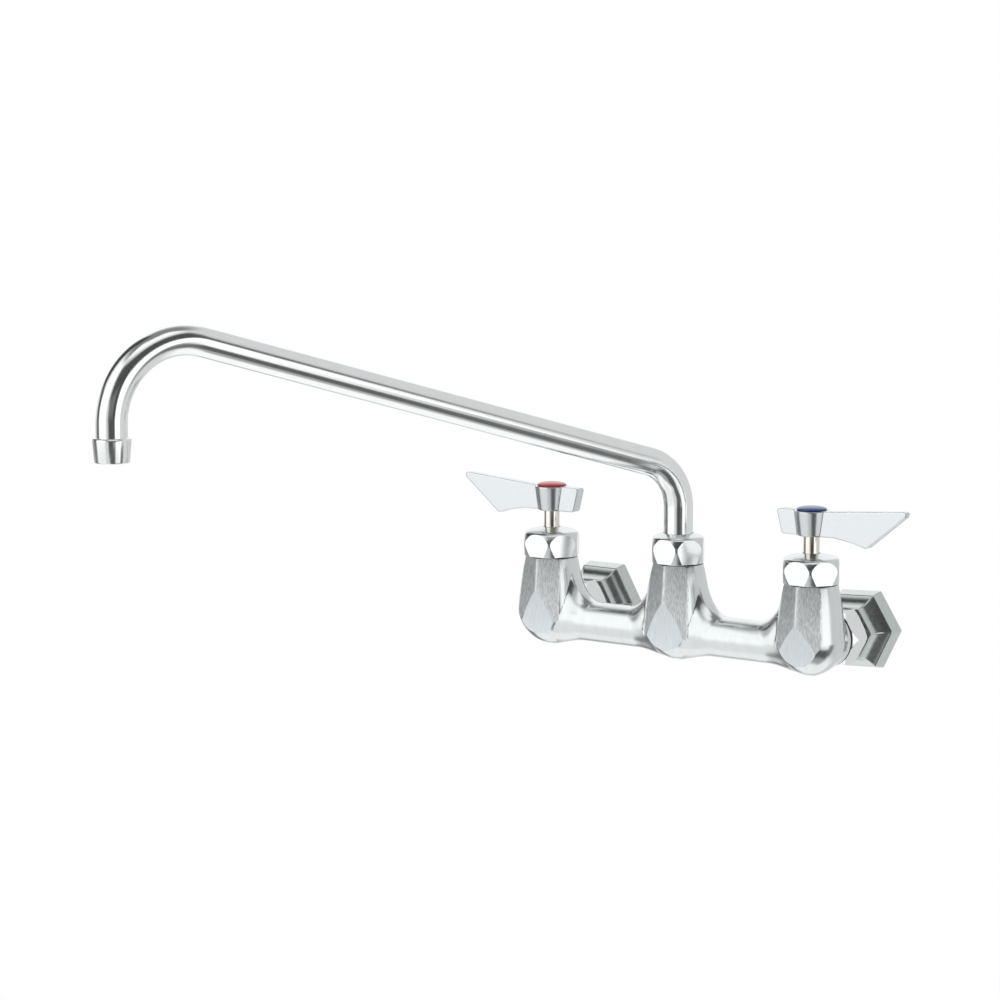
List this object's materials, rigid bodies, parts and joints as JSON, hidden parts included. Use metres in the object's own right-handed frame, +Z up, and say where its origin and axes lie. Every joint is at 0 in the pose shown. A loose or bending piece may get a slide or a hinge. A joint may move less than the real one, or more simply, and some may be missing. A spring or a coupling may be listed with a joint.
{
  "type": "wall faucet",
  "caption": "Wall-mounted sink faucet: a cast bar with lever-handled valves, a long swing spout of bent tube, and hexagonal inlet flanges with union nuts.",
  "frame": {"origin": "on the wall plane, midway between the supply pipes, at their height", "axes": "+Z up, +X along the bar towards the cold side, +Y into the wall; the spout and handles stand out towards -Y"},
  "size_m": [0.3438, 0.4549, 0.2418],
  "materials": {
    "brushed_chrome": "satin-ground cast brass, chrome plated",
    "polished_chrome": "polished chrome plate",
    "flange_chrome": "dull chrome plate",
    "handle_satin": "bead-blasted and plated casting",
    "nickel": "bright nickel plate",
    "brass": "turned",
    "steel": "turned",
    "hot_red": "gloss",
    "cold_blue": "gloss",
    "seal_rubber": "moulded",
    "fibre": "pressed fibre",
    "ceramic": "ground alumina",
    "plastic": "moulded"
  },
  "bodies": {
    "faucet": {"faucet_body": "brushed_chrome", "spout_nut": "polished_chrome", "spout_thrust_washer": "plastic", "hot_bonnet_nut": "polished_chrome", "hot_cartridge_barrel": "brass", "hot_fixed_disc": "ceramic", "hot_seat_gasket": "seal_rubber", "hot_inlet_flange": "flange_chrome", "hot_inlet_washer": "fibre", "hot_coupling_nut": "polished_chrome", "cold_bonnet_nut": "polished_chrome", "cold_cartridge_barrel": "brass", "cold_fixed_disc": "ceramic", "cold_seat_gasket": "seal_rubber", "cold_inlet_flange": "flange_chrome", "cold_inlet_washer": "fibre", "cold_coupling_nut": "polished_chrome"},
    "hot_handle": {"hot_lever_handle": "handle_satin", "hot_handle_screw": "steel", "hot_index_cap": "hot_red", "hot_stem": "nickel", "hot_moving_disc": "ceramic", "hot_stem_o_ring": "seal_rubber"},
    "cold_handle": {"cold_lever_handle": "handle_satin", "cold_handle_screw": "steel", "cold_index_cap": "cold_blue", "cold_stem": "nickel", "cold_moving_disc": "ceramic", "cold_stem_o_ring": "seal_rubber"},
    "spout": {"spout_tube": "polished_chrome", "spout_swivel_sleeve": "brass", "spout_o_ring_1": "seal_rubber", "spout_o_ring_2": "seal_rubber", "outlet_collar": "polished_chrome", "outlet_flow_regulator": "plastic"}
  },
  "joints": [
    {"name": "hot_handle_turn", "type": "hinge", "parent": "faucet", "child": "hot_handle", "pos_m": [-0.1016, -0.065, 0.078], "axis": [0, 0, 1], "range_deg": [0, 90]},
    {"name": "cold_handle_turn", "type": "hinge", "parent": "faucet", "child": "cold_handle", "pos_m": [0.1016, -0.065, 0.078], "axis": [0, 0, 1], "range_deg": [-90, 0]},
    {"name": "spout_swing", "type": "hinge", "parent": "faucet", "child": "spout", "pos_m": [0, -0.065, 0.05], "axis": [0, 0, 1], "range_deg": [-68.5, 111.5]}
  ]
}
